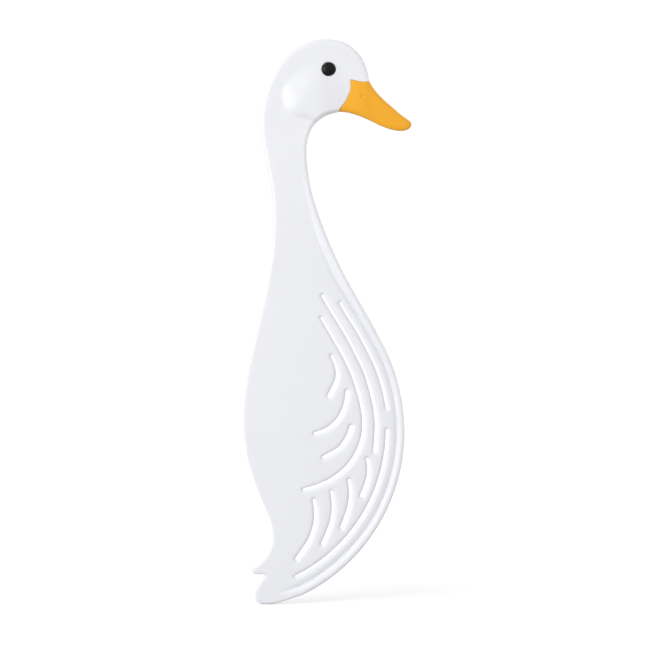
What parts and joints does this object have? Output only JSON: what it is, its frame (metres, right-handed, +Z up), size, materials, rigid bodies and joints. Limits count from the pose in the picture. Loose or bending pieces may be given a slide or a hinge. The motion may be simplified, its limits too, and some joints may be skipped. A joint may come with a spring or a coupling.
{
  "type": "pot strainer",
  "caption": "Flat goose-shaped kitchen strainer: a slotted wing plate with a raised round rim that fits against a pot wall, and the neck as its handle.",
  "frame": {"origin": "middle of the bounding box in X and Y, at the lowest point of the tail", "axes": "+Z up along the length from tail to head, +X the way the goose faces, +Y out of the back face"},
  "size_m": [0.102, 0.015, 0.3407],
  "materials": {
    "white_plastic": "satin white moulded nylon",
    "orange_plastic": "satin orange overmoulded",
    "black_plastic": "polished black bead"
  },
  "bodies": {
    "root": {"strainer_body": "white_plastic", "bill": "orange_plastic", "right_eye": "black_plastic", "left_eye": "black_plastic"}
  },
  "joints": []
}
